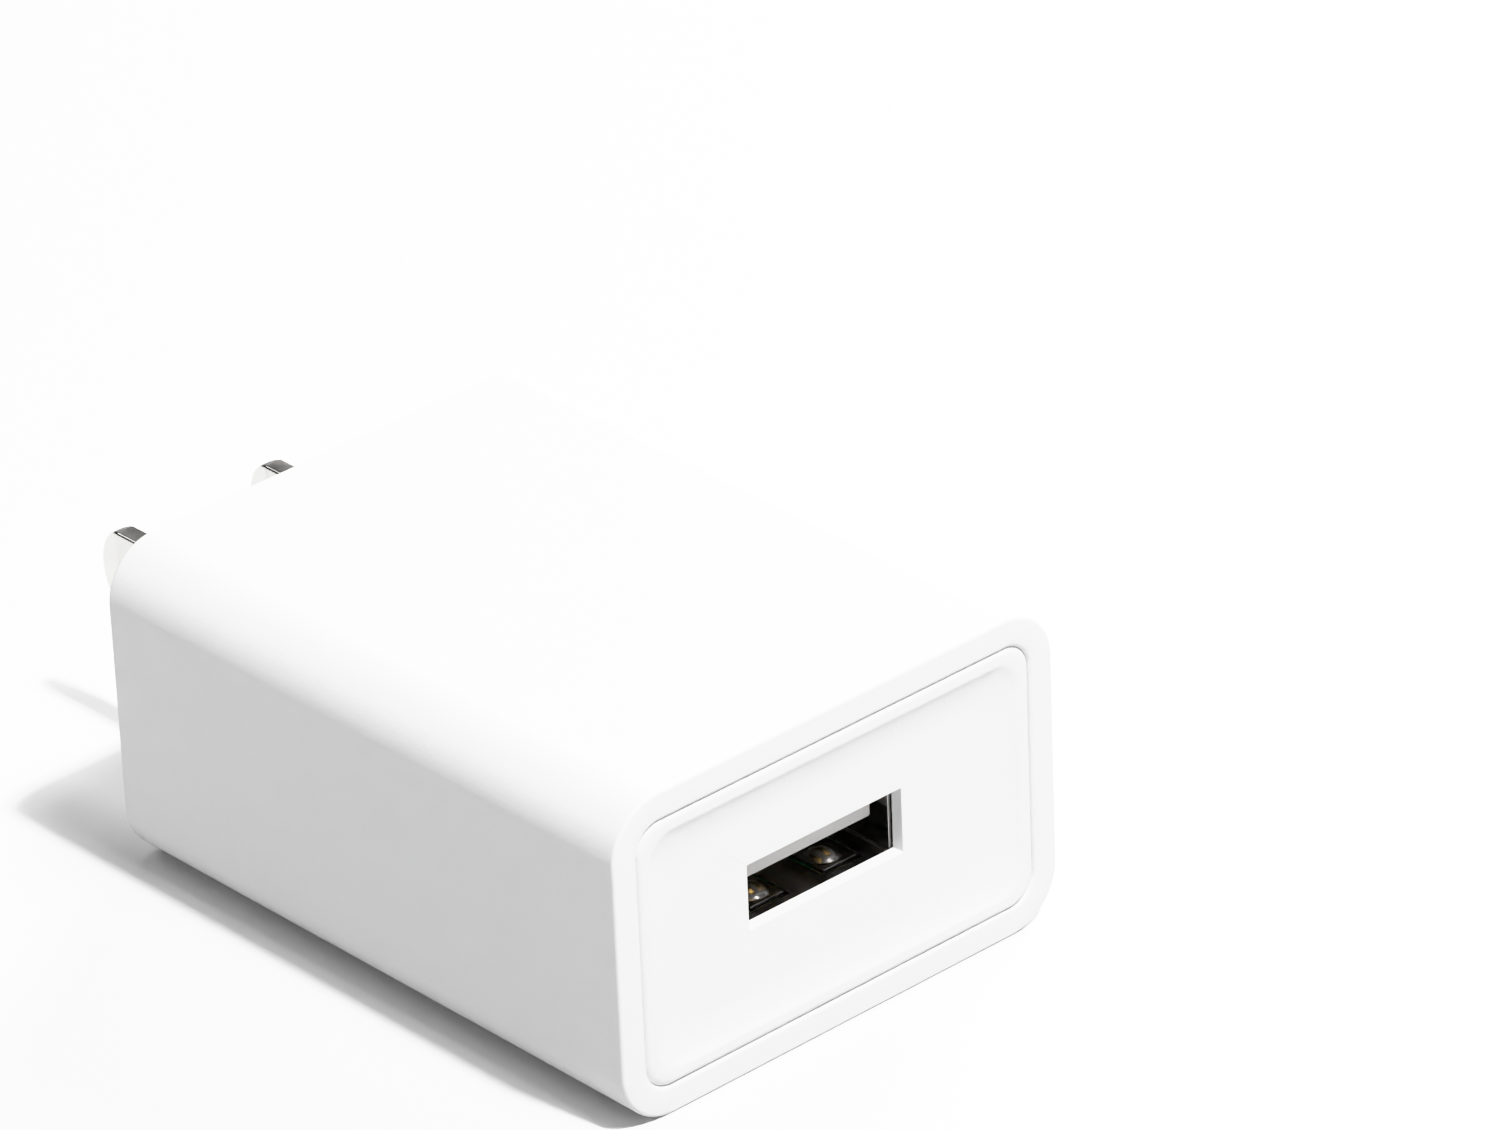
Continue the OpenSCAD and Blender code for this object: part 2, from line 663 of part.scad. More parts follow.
main_housing();
front_cover();
rear_cover();
blade_left();
blade_right();
blade_clip_left();
blade_clip_right();
circuit_board();
usb_shell();
usb_insulator();
usb_terminals();
usb_contact_1();
usb_contact_2();
usb_contact_3();
usb_contact_4();
transformer_bobbin();
transformer_core_front();
transformer_core_rear();
primary_winding();
secondary_winding();
winding_tape();
transformer_pins();
input_capacitor_left();
input_capacitor_left_sleeve();
input_capacitor_left_bung();
input_capacitor_right();
input_capacitor_right_sleeve();
input_capacitor_right_bung();
output_capacitor_front();
output_capacitor_front_bung();
output_capacitor_rear();
output_capacitor_rear_bung();
y_capacitor();
fusible_resistor();
input_choke();
bridge_rectifier();
controller_chip();
output_diode();
chip_leads();
chip_resistors();
chip_capacitors();
component_leads();
solder_joints();
insulating_sheet();
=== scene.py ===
from math import cos, exp, pi, radians, sin

import bmesh
import bpy
from mathutils import Matrix, Vector, noise


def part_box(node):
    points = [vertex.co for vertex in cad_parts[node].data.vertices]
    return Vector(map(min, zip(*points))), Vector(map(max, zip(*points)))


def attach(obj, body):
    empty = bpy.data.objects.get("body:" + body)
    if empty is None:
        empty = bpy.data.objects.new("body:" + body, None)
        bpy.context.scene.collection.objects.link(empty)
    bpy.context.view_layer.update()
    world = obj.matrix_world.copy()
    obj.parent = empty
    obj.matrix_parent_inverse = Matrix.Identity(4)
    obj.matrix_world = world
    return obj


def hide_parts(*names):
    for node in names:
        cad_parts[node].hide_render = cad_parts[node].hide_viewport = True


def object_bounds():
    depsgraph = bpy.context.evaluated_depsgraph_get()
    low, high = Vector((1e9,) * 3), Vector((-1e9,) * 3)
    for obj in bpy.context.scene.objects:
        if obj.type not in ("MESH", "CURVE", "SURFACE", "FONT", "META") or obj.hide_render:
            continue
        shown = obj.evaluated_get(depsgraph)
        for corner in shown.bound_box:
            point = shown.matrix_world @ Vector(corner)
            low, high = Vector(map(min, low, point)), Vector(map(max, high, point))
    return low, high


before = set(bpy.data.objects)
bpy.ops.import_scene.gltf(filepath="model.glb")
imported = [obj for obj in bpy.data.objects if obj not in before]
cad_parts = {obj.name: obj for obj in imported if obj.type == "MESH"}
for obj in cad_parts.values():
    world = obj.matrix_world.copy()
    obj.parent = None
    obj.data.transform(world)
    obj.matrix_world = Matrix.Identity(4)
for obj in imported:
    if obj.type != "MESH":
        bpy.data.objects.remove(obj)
cad_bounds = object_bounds()
MM = 0.001


# ---- Camera: a long lens that looks down on the socket end from its left ----
# The charger lies on its broad side, and its blades point away from the camera.
camera = bpy.data.objects.new("camera", bpy.data.cameras.new("camera"))
bpy.context.scene.collection.objects.link(camera)
bpy.context.scene.camera = camera
camera.data.lens = 222.7
aim = Vector((-5.0, -46.4, 22.6)) * MM
turn = Matrix.Rotation(radians(-41.6), 4, "Z") @ Matrix.Rotation(radians(90 - 28.8), 4, "X")
camera.matrix_world = Matrix.Translation(aim) @ turn @ Matrix.Rotation(radians(-2.4), 4, "Z") \
    @ Matrix.Translation((0, 0, 560 * MM))


# ---- Studio: a white table under a small key lamp in a soft box, with lamps behind and on both sides ----
# The room is dark near the horizon, so bare metal shows light and dark bands. Bright whites roll off softly
# instead of clipping. The table's paint counts as darker for the light that it passes on than for what it
# shows, which keeps the shadows beside the charger deep.
BACKDROP = 1.9
ROOM_DARK, ROOM_GLOW = 0.05, 0.22
TABLE_WHITE, TABLE_BOUNCE = 0.93, 0.4
TABLE_HALF = 1.5
WHITE_LEVEL = 2.5
SOFT_WHITES = ((0.1, 0.25), (0.2, 0.5), (0.32, 0.72), (0.4, 0.83), (0.48, 0.9), (0.6, 0.937), (0.8, 0.975))
scene = bpy.context.scene
view = scene.view_settings
view.view_transform = "Standard"
view.use_curve_mapping = True
view.curve_mapping.white_level = (WHITE_LEVEL, WHITE_LEVEL, WHITE_LEVEL)
for light_in, light_out in SOFT_WHITES:
    view.curve_mapping.curves[3].points.new(light_in, light_out)
view.curve_mapping.update()

room = bpy.data.worlds.new("room")
scene.world = room
room.use_nodes = True
nodes, links = room.node_tree.nodes, room.node_tree.links


def math_node(tree, operation, *values):
    """A Math node of a node tree, whose inputs are numbers or other nodes' outputs."""
    node = tree.nodes.new("ShaderNodeMath")
    node.operation = operation
    for socket, value in zip(node.inputs, values):
        if isinstance(value, (int, float)):
            socket.default_value = value
        else:
            tree.links.new(value, socket)
    return node.outputs["Value"]


heading = nodes.new("ShaderNodeTexCoord").outputs["Generated"]
overhead = nodes.new("ShaderNodeVectorMath")
overhead.operation = "DOT_PRODUCT"
overhead.inputs[1].default_value = (-0.2, -0.3, 0.93)
links.new(heading, overhead.inputs[0])
glow = nodes.new("ShaderNodeMapRange")
glow.interpolation_type = "SMOOTHSTEP"
for socket, number in (("From Min", 0.2), ("From Max", 1), ("To Min", ROOM_DARK), ("To Max", ROOM_GLOW)):
    glow.inputs[socket].default_value = number
links.new(overhead.outputs["Value"], glow.inputs["Value"])
light_path = nodes.new("ShaderNodeLightPath")
seen = math_node(room.node_tree, "MULTIPLY", light_path.outputs["Is Camera Ray"], BACKDROP)
strength = math_node(room.node_tree, "MAXIMUM", glow.outputs["Result"], seen)
links.new(strength, nodes["Background"].inputs["Strength"])
nodes["Background"].inputs["Color"].default_value = (1, 1, 1, 1)


def soft_lamp(name, place, target, size, power):
    """A square area lamp at place, turned to face target. Lengths in metres, power in watts."""
    lamp = bpy.data.objects.new(name, bpy.data.lights.new(name, "AREA"))
    scene.collection.objects.link(lamp)
    lamp.data.size = size
    lamp.data.energy = power
    lamp.location = place
    lamp.rotation_euler = (Vector(target) - Vector(place)).to_track_quat("-Z", "Y").to_euler()
    return lamp


ABOVE = (0.041, -0.416, 0.79)
soft_lamp("key_lamp", ABOVE, (0, -0.02, 0), 0.05, 11.5)
soft_lamp("soft_box", ABOVE, (0, -0.02, 0), 0.2, 3.5)
soft_lamp("side_lamp", (0.62, 0.25, 0.4), (0, -0.02, 0), 0.35, 7.5)
soft_lamp("fill_lamp", (-0.7, -0.12, 0.1), (0, -0.02, 0), 0.25, 0.6)
soft_lamp("rim_lamp", (-0.17, 0.6, 0.6), (0, 0, 0), 0.3, 0.9)

table_mesh = bpy.data.meshes.new("table")
bm = bmesh.new()
bmesh.ops.create_grid(bm, x_segments=1, y_segments=1, size=TABLE_HALF)
bmesh.ops.translate(bm, verts=bm.verts, vec=(0, 0, cad_bounds[0][2]))
bm.to_mesh(table_mesh)
bm.free()
table = bpy.data.objects.new("table", table_mesh)
scene.collection.objects.link(table)
table_paint = bpy.data.materials.new("table_paint")
table_paint.use_nodes = True
nodes, links = table_paint.node_tree.nodes, table_paint.node_tree.links
nodes["Principled BSDF"].inputs["Roughness"].default_value = 0.6
shade = nodes.new("ShaderNodeMapRange")
shade.inputs["To Min"].default_value = TABLE_WHITE
shade.inputs["To Max"].default_value = TABLE_BOUNCE
links.new(nodes.new("ShaderNodeLightPath").outputs["Is Diffuse Ray"], shade.inputs["Value"])
links.new(shade.outputs["Result"], nodes["Principled BSDF"].inputs["Base Color"])
table_mesh.materials.append(table_paint)


# ---- Main housing: one thick tube moulded in white polycarbonate ----
# Its mould was spark-eroded, so every outer face has a fine matt grain. Both ends are cut crisp, and
# the inside steps in to a ledge behind each cover. Four rails hold the circuit board.
body_low, body_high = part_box("main_housing")
BODY_W, BODY_H = body_high.x - body_low.x, body_high.z - body_low.z
EDGE_R = 4 * MM
FRONT_Y = body_low.y
COVER_T = 3 * MM
FRONT_RIM, REAR_RIM, WALL = 2 * MM, 1.3 * MM, 2.4 * MM
END_FILLET, RIM_FILLET, REAR_CHAMFER = 0.25 * MM, 0.3 * MM, 0.08 * MM
RAIL_T, RAIL_REACH, RAIL_END = 1 * MM, 0.7 * MM, -9 * MM


def outline(width, height, radius, y, middle=(0, 0)):
    """Where one ring goes: a rectangle with round corners, square to Y. Middle is its X and Z."""
    return (width / 2 - radius, height / 2 - radius, radius, y, *middle)


def walk_outlines(bm, places, points=64, closed=True):
    """Draws a ring at the first place and extrudes it through the others, one quarter of it to each corner.
    A closed walk comes back to its first ring and joins it."""
    way = bm.verts.layers.float_vector.get("way") or bm.verts.layers.float_vector.new("way")
    half_step = Matrix.Rotation(pi / points, 4, "Z")
    ring = bmesh.ops.create_circle(bm, segments=points, radius=1, matrix=half_step)["verts"]
    for v in ring:
        v[way] = v.co
    first = ring
    edges = list({e for v in ring for e in v.link_edges})
    for i, (across, up, radius, y, x, z) in enumerate(places + places[:1] if closed else places):
        if i:
            made = bmesh.ops.extrude_edge_only(bm, edges=edges)["geom"]
            ring = [g for g in made if isinstance(g, bmesh.types.BMVert)]
            edges = [g for g in made if isinstance(g, bmesh.types.BMEdge) and set(g.verts) <= set(ring)]
        for v in ring:
            side, rise, _ = v[way]
            v.co = (x + side * radius + (across if side > 0 else -across), y,
                    z + rise * radius + (up if rise > 0 else -up))
    if closed:
        bmesh.ops.remove_doubles(bm, verts=first + ring, dist=1e-7)
    return ring


def add_piece(name, bm, *finishes, sharp=35):
    """Turns a bmesh into an object with smooth faces, creased where they meet at more than sharp degrees.
    Broad flat faces keep their own shading next to narrow rounded edges."""
    bmesh.ops.recalc_face_normals(bm, faces=bm.faces)
    mesh = bpy.data.meshes.new(name)
    bm.to_mesh(mesh)
    bm.free()
    mesh.shade_smooth()
    mesh.set_sharp_from_angle(angle=radians(sharp))
    for finish in finishes:
        mesh.materials.append(finish)
    obj = bpy.data.objects.new(name, mesh)
    scene.collection.objects.link(obj)
    shading = obj.modifiers.new("flat_faces", "WEIGHTED_NORMAL")
    shading.keep_sharp = True
    return obj


def assemble(piece, slot, *nodes, body="root"):
    """The piece moves with a body and stands for CAD nodes, which it hides. The slot is not used."""
    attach(piece, body)
    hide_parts(*nodes)


def box_between(bm, low, high):
    """Adds a closed box between two corners."""
    low, high = Vector(low), Vector(high)
    place = Matrix.Translation((low + high) / 2) @ Matrix.Diagonal((*(high - low), 1))
    return bmesh.ops.create_cube(bm, size=1, matrix=place)["verts"]


def new_finish(name, **sockets):
    """A Principled material. Each keyword sets the socket of that name, with _ for a space."""
    material = bpy.data.materials.new(name)
    material.use_nodes = True
    shader = material.node_tree.nodes["Principled BSDF"]
    for socket, value in sockets.items():
        shader.inputs[socket.replace("_", " ")].default_value = value
    return material


def add_noise(material, scale, detail=2.0, stretch=(1, 1, 1)):
    """A noise texture on Object coordinates, with scale waves to the metre. A stretch below 1 pulls it out
    along that axis."""
    nodes, links = material.node_tree.nodes, material.node_tree.links
    coords = nodes.new("ShaderNodeTexCoord")
    mapping = nodes.new("ShaderNodeMapping")
    mapping.inputs["Scale"].default_value = stretch
    waves = nodes.new("ShaderNodeTexNoise")
    waves.inputs["Scale"].default_value = scale
    waves.inputs["Detail"].default_value = detail
    links.new(coords.outputs["Object"], mapping.inputs["Vector"])
    links.new(mapping.outputs["Vector"], waves.inputs["Vector"])
    return waves.outputs["Fac"]


def remap(material, value, low, high, start=0.3, end=0.7):
    """Stretches a texture value from start..end to low..high."""
    node = material.node_tree.nodes.new("ShaderNodeMapRange")
    for socket, number in (("From Min", start), ("From Max", end), ("To Min", low), ("To Max", high)):
        node.inputs[socket].default_value = number
    material.node_tree.links.new(value, node.inputs["Value"])
    return node.outputs["Result"]


def mix_colours(material, value, first, second):
    """Blends two colours by a texture value."""
    node = material.node_tree.nodes.new("ShaderNodeMix")
    node.data_type = "RGBA"
    node.inputs["A"].default_value = (*first, 1)
    node.inputs["B"].default_value = (*second, 1)
    material.node_tree.links.new(value, node.inputs["Factor"])
    return node.outputs["Result"]


def drive(material, value, socket):
    """Links a texture value to a socket of the material's shader."""
    shader = material.node_tree.nodes["Principled BSDF"]
    material.node_tree.links.new(value, shader.inputs[socket])


def emboss(material, value, depth):
    """Bumps the surface by a texture value, depth in metres from its low to its high."""
    node = material.node_tree.nodes.new("ShaderNodeBump")
    node.inputs["Distance"].default_value = depth
    material.node_tree.links.new(value, node.inputs["Height"])
    drive(material, node.outputs["Normal"], "Normal")


def textured(name, scale, first, second, rough, depth=0, stretch=(1, 1, 1), **sockets):
    """A finish whose colour and roughness wander with one noise, which may emboss the surface too."""
    material = new_finish(name, **sockets)
    value = add_noise(material, scale, 3, stretch)
    drive(material, mix_colours(material, value, first, second), "Base Color")
    drive(material, remap(material, value, *rough), "Roughness")
    if depth:
        emboss(material, value, depth)
    return material


white_plastic = new_finish("spark_grained_white", Specular_IOR_Level=0.45)
grain = add_noise(white_plastic, 3400, detail=2.5)
emboss(white_plastic, grain, 0.018 * MM)
mottle = add_noise(white_plastic, 180, detail=4)
casing_white = mix_colours(white_plastic, mottle, (0.855, 0.857, 0.862), (0.88, 0.88, 0.88))
drive(white_plastic, casing_white, "Base Color")
drive(white_plastic, remap(white_plastic, grain, 0.42, 0.58), "Roughness")


def body_ring(inset, y):
    """The body's outline, moved inwards by inset."""
    return outline(BODY_W - 2 * inset, BODY_H - 2 * inset, EDGE_R - inset, y)


def fillet(inset, y, radius, inwards, along):
    """Ring places round a quarter circle, from the outer wall to the end face."""
    steps = [radians(90) * i / 4 for i in range(5)]
    return [(inset + inwards * radius * (1 - cos(a)), y + along * radius * (1 - sin(a))) for a in steps]


bm = bmesh.new()
places = fillet(0, FRONT_Y, END_FILLET, 1, 1)
places += fillet(FRONT_RIM, FRONT_Y, RIM_FILLET, -1, 1)[::-1]
places += [(FRONT_RIM, FRONT_Y + COVER_T), (WALL, FRONT_Y + COVER_T), (WALL, -COVER_T), (REAR_RIM, -COVER_T)]
places += [(REAR_RIM, -REAR_CHAMFER), (REAR_RIM - REAR_CHAMFER, 0)]
places += fillet(0, 0, END_FILLET, 1, -1)[::-1]
walk_outlines(bm, [body_ring(inset, y) for inset, y in places])
board_low, board_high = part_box("circuit_board")
for side in (-1, 1):
    for z in (board_low.z - RAIL_T - 0.05 * MM, board_high.z + 0.05 * MM):
        tip, root = side * (board_high.x - RAIL_REACH), side * (BODY_W / 2 - WALL + 0.2 * MM)
        box_between(bm, (min(tip, root), board_low.y + 2 * MM, z), (max(tip, root), RAIL_END, z + RAIL_T))
housing = add_piece("housing_tube", bm, white_plastic)
assemble(housing, "white_casing", "main_housing")


# ---- Front cover: a thin dished panel round the USB window, welded into the tube ----
# A rounded bead stands just inside the seam. From it the dish falls in one soft curve to a flat panel.
HAIR = 0.02 * MM
BEAD_R, CREST_W = 0.4 * MM, 0.75 * MM
DISH_W, DISH_DEPTH, PANEL_T = 2.8 * MM, 0.5 * MM, 0.9 * MM
WINDOW_W, WINDOW_H, WINDOW_R = 13.0 * MM, 4.6 * MM, 0.12 * MM
POCKET_W, POCKET_H, POCKET_R = 26 * MM, 14.4 * MM, 0.5 * MM
TAB_HALF, TAB_L = 11 * MM, 3.5 * MM
shell_low, shell_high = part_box("usb_shell")
PORT = ((shell_low.x + shell_high.x) / 2, shell_high.z - 2.85 * MM)
COVER_EDGE = FRONT_RIM + HAIR


def cover_section():
    """Inset, depth and corner radius of each ring, from the cover's side wall over the bead to the panel."""
    for i in range(7):
        angle = radians(90) * i / 6
        yield BEAD_R * (1 - cos(angle)), BEAD_R * (1 - sin(angle)), 1.95 * MM
    steps = 32
    ease = 0.12
    for i in range(1, steps + 1):
        t = i / steps
        fall = (1 - (1 - t) ** 2) * (1 - exp(-(t / ease) ** 2))
        yield CREST_W + DISH_W * t, DISH_DEPTH * fall, (1.95 + 0.5 * t) * MM


bm = bmesh.new()
wide, tall = BODY_W - 2 * COVER_EDGE, BODY_H - 2 * COVER_EDGE
places = [outline(wide, tall, 1.98 * MM, FRONT_Y + COVER_T)]
for inset, depth, radius in cover_section():
    inset += COVER_EDGE
    places.append(outline(BODY_W - 2 * inset, BODY_H - 2 * inset, radius, FRONT_Y + depth))
panel_y = FRONT_Y + DISH_DEPTH
for grow, depth in ((0.08, 0), (0.02, 0.02), (0, 0.08), (0, PANEL_T / MM)):
    window_w, window_h = WINDOW_W + 2 * grow * MM, WINDOW_H + 2 * grow * MM
    places.append(outline(window_w, window_h, WINDOW_R, panel_y + depth * MM, PORT))
places += [outline(POCKET_W, POCKET_H, POCKET_R, y) for y in (panel_y + PANEL_T, FRONT_Y + COVER_T)]
walk_outlines(bm, places)
for side in (-1, 1):
    near, far = side * (BODY_H / 2 - WALL - 1.1 * MM), side * (BODY_H / 2 - WALL - 0.1 * MM)
    box_between(bm, (-TAB_HALF, FRONT_Y + COVER_T - 0.2 * MM, min(near, far)),
                (TAB_HALF, FRONT_Y + COVER_T + TAB_L, max(near, far)))
cover = add_piece("socket_cover", bm, white_plastic)
assemble(cover, "white_casing", "front_cover")


# ---- Rear cover: a glossy plate with two slots for the blades, welded into the other end ----
# It is moulded in the same white resin but polished, so it mirrors the blades. A boss behind holds them.
CREASE = radians(40)


def eased_copy(node, name, finish, width, segments=2):
    """A copy of a CAD node with every edge sharper than a crease rounded over by width."""
    bm = bmesh.new()
    bm.from_mesh(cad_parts[node].data)
    bmesh.ops.remove_doubles(bm, verts=bm.verts, dist=1e-7)
    bmesh.ops.dissolve_limit(bm, angle_limit=radians(0.5), verts=bm.verts, edges=bm.edges)
    creases = [e for e in bm.edges if e.is_manifold and e.calc_face_angle() > CREASE]
    bmesh.ops.bevel(bm, geom=creases, offset=width, segments=segments, profile=0.5, affect="EDGES",
                    material=-1)
    return add_piece(name, bm, finish)


glossy_plastic = textured("polished_white", 260, (0.80, 0.80, 0.805), (0.83, 0.83, 0.83), (0.08, 0.15))
emboss(glossy_plastic, add_noise(glossy_plastic, 90), 0.008 * MM)
plate = eased_copy("rear_cover", "blade_plate", glossy_plastic, 0.06 * MM)
assemble(plate, "rear_plate", "rear_cover")


# ---- Mains blades: flat brass bars, nickel plated, pushed through the plate from inside ----
# Their broad faces are satin from rolling and their coined bevels are polished. The narrow faces and round
# tips of real ones are polished too, but here they and the holes are rougher and carry painted shade: a
# darker colour that stands for the dark room they mirror.
BEVEL_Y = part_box("blade_left")[1].y - 2.4 * MM
SATIN, POLISHED = 0.24, 0.07
nickel = new_finish("nickel_plate", Metallic=1.0)
rolled = add_noise(nickel, 900, detail=3, stretch=(1, 0.05, 1))
drive(nickel, mix_colours(nickel, rolled, (0.44, 0.435, 0.42), (0.50, 0.495, 0.48)), "Base Color")
emboss(nickel, rolled, 0.0012 * MM)
place = nickel.node_tree.nodes.new("ShaderNodeTexCoord")
along = nickel.node_tree.nodes.new("ShaderNodeSeparateXYZ")
nickel.node_tree.links.new(place.outputs["Object"], along.inputs["Vector"])
polish = remap(nickel, along.outputs["Y"], SATIN, POLISHED, BEVEL_Y - 0.3 * MM, BEVEL_Y + 0.1 * MM)
drive(nickel, polish, "Roughness")

# Painted shade: the narrow faces, tips and holes are coloured far darker than the nickel, standing for the
# dark room they mirror.
dull_painted_shade_edge = textured("dull_painted_shade_edge", 1400, (0.15, 0.145, 0.14), (0.22, 0.215, 0.205), (0.32, 0.45),
                     stretch=(0.2, 1, 1), Metallic=1.0)

for side in ("left", "right"):
    blade = eased_copy("blade_" + side, "mains_blade_" + side, nickel, 0.22 * MM, segments=4)
    blade.data.materials.append(dull_painted_shade_edge)
    for face in blade.data.polygons:
        if abs(face.normal.x) < 0.3:
            face.material_index = 1
    for edge in blade.data.edges:
        if all(abs(blade.data.vertices[v].co.y - BEVEL_Y) < 0.001 * MM for v in edge.vertices):
            edge.use_edge_sharp = True
    assemble(blade, "nickel_blade", "blade_" + side)


# ---- Blade clips: folded phosphor-bronze springs that stand on the board and grip the blades' tails ----
bronze = textured("phosphor_bronze", 1500, (0.62, 0.38, 0.17), (0.74, 0.48, 0.24), (0.22, 0.4),
                  stretch=(1, 1, 0.1), Metallic=1.0)
for side in ("left", "right"):
    clip = eased_copy("blade_clip_" + side, "tail_clip_" + side, bronze, 0.08 * MM, segments=3)
    assemble(clip, "spring_bronze", "blade_clip_" + side)


# ---- Circuit board: glass-epoxy laminate under green solder mask, drilled and slotted ----
# Copper areas with straight gaps between them show through the mask. The routed edges are bare laminate.
solder_mask = new_finish("solder_mask", Specular_IOR_Level=0.5, Coat_Weight=0.3)
copper_gaps = solder_mask.node_tree.nodes.new("ShaderNodeTexVoronoi")
copper_gaps.feature = "DISTANCE_TO_EDGE"
copper_gaps.inputs["Scale"].default_value = 230
place = solder_mask.node_tree.nodes.new("ShaderNodeTexCoord")
solder_mask.node_tree.links.new(place.outputs["Object"], copper_gaps.inputs["Vector"])
copper = remap(solder_mask, copper_gaps.outputs["Distance"], 0, 1, 0.035, 0.06)
drive(solder_mask, mix_colours(solder_mask, copper, (0.008, 0.085, 0.03), (0.03, 0.24, 0.085)), "Base Color")
drive(solder_mask, remap(solder_mask, add_noise(solder_mask, 1400), 0.2, 0.34), "Roughness")
emboss(solder_mask, copper, 0.03 * MM)
laminate = textured("bare_laminate", 3000, (0.42, 0.40, 0.22), (0.60, 0.58, 0.36), (0.6, 0.8), 0.02 * MM,
                    stretch=(1, 1, 4))

board = eased_copy("circuit_board", "printed_board", solder_mask, 0.04 * MM, segments=1)
board.data.materials.append(laminate)
for face in board.data.polygons:
    if abs(face.normal.z) < 0.5:
        face.material_index = 1
assemble(board, "board_laminate", "circuit_board")


# ---- USB shell: thin nickel-plated steel folded round the socket ----
# Two spring fingers are cut out of its floor, and each carries a pressed dimple that holds the plug.
# Painted shade: the steel's colour is set far darker than bright nickel, so the inside of the socket reads
# as deep shade.
darkened_steel = textured("nickel_steel_painted_dark", 1200, (0.26, 0.255, 0.25), (0.34, 0.33, 0.32), (0.14, 0.28),
                 stretch=(1, 0.08, 1), Metallic=1.0)
shell = eased_copy("usb_shell", "socket_shell", darkened_steel, 0.05 * MM, segments=2)
assemble(shell, "shell_steel", "usb_shell")


# ---- USB insulator: the white tongue and the block behind it, moulded in one from filled nylon ----
# The contacts hang below the tongue, and the block holds their tails at the back of the shell.
nylon = textured("moulded_nylon", 2400, (0.60, 0.59, 0.58), (0.67, 0.66, 0.65), (0.4, 0.55), 0.006 * MM)
tongue = eased_copy("usb_insulator", "socket_tongue", nylon, 0.2 * MM, segments=4)
assemble(tongue, "socket_plastic", "usb_insulator")


# ---- USB contacts: four gold-flashed strips, each a fixed tail in the block and a sprung arm ----
# An arm hangs below the tongue in a bow, and a plug lifts it. Its body turns at the arm's root.
gold = textured("gold_flash", 1800, (0.83, 0.53, 0.17), (0.90, 0.62, 0.24), (0.12, 0.26), Metallic=1.0)
tails = eased_copy("usb_terminals", "contact_tails", gold, 0.05 * MM, segments=2)
assemble(tails, "gold_contact", "usb_terminals")
for i in range(1, 5):
    arm = eased_copy(f"usb_contact_{i}", f"contact_arm_{i}", gold, 0.05 * MM, segments=2)
    assemble(arm, "gold_contact", f"usb_contact_{i}", body=f"contact_{i}")


# ---- Transformer bobbin and cores: a black phenolic spool between the halves of an E-shaped ferrite ----
# Ferrite is pressed and fired, so it is dark grey with fine sparkling pores. Its mating faces are ground.
phenolic = textured("black_phenolic", 2600, (0.018, 0.018, 0.02), (0.032, 0.032, 0.034), (0.35, 0.55),
                    0.008 * MM)
bobbin = eased_copy("transformer_bobbin", "winding_bobbin", phenolic, 0.08 * MM)
assemble(bobbin, "bobbin_plastic", "transformer_bobbin")

ferrite = textured("fired_ferrite", 4200, (0.03, 0.03, 0.033), (0.085, 0.085, 0.09), (0.3, 0.6), 0.012 * MM)
for end in ("front", "rear"):
    core = eased_copy("transformer_core_" + end, "ferrite_core_" + end, ferrite, 0.14 * MM, segments=3)
    assemble(core, "ferrite", "transformer_core_" + end)


# ---- Windings: lacquered copper inside, thick yellow-insulated wire over it, then three turns of tape ----
# Each turn shows as its own round ridge. The tape's end is stuck down flat on the top.
def wound_layer(name, node, wire, build, corner, finish):
    """A layer of wire round the spool, whose outside is one half-round ridge for each turn."""
    low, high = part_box(node)
    middle = (low + high) / 2
    turns = round((high.y - low.y) / wire)
    pitch = (high.y - low.y) / turns
    places = []
    for i in range(turns):
        for angle in (-80, -48, -16, 16, 48, 80):
            sink = wire / 2 * (1 - cos(radians(angle)))
            y = low.y + pitch * (i + 0.5 + sin(radians(angle)) / 2)
            places.append(outline(high.x - low.x - 2 * sink, high.z - low.z - 2 * sink, corner - sink, y,
                                  (middle.x, middle.z)))
    for y in (high.y, low.y):
        places.append(outline(high.x - low.x - 2 * build, high.z - low.z - 2 * build, corner - build, y,
                              (middle.x, middle.z)))
    bm = bmesh.new()
    walk_outlines(bm, places, points=48)
    return add_piece(name, bm, finish, sharp=70)


copper_wire = textured("lacquered_copper", 1600, (0.42, 0.11, 0.035), (0.56, 0.19, 0.07), (0.22, 0.36),
                       Metallic=0.85, Coat_Weight=0.5)
primary = wound_layer("copper_winding", "primary_winding", 0.2 * MM, 1.1 * MM, 1.4 * MM, copper_wire)
assemble(primary, "enamelled_copper", "primary_winding")
yellow_wire = textured("insulated_wire", 1100, (0.72, 0.50, 0.05), (0.80, 0.60, 0.09), (0.3, 0.42),
                       0.004 * MM)
secondary = wound_layer("yellow_winding", "secondary_winding", 0.6 * MM, 0.7 * MM, 2.1 * MM, yellow_wire)
assemble(secondary, "insulated_wire", "secondary_winding")

tape_film = textured("polyester_tape", 420, (0.78, 0.55, 0.035), (0.86, 0.65, 0.08), (0.18, 0.34), 0.02 * MM,
                     stretch=(1, 3, 1), Coat_Weight=0.4)
low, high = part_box("winding_tape")
middle = ((low.x + high.x) / 2, (low.z + high.z) / 2)
TAPE_T, TAPE_CORNER = 0.1 * MM, 2.2 * MM
bm = bmesh.new()
places = []
for inset, radius, ys in ((0, TAPE_CORNER, (low.y + 0.02 * MM, high.y - 0.02 * MM)),
                          (TAPE_T, TAPE_CORNER - TAPE_T, (high.y, low.y))):
    for y in ys:
        places.append(outline(high.x - low.x - 2 * inset, high.z - low.z - 2 * inset, radius, y, middle))
walk_outlines(bm, places, points=48)
box_between(bm, (middle[0] - 2.2 * MM, low.y + 0.1 * MM, high.z - 0.02 * MM),
            (middle[0] + 1.1 * MM, high.y - 0.1 * MM, high.z + 0.05 * MM))
tape = add_piece("coil_tape", bm, tape_film)
assemble(tape, "yellow_tape", "winding_tape")


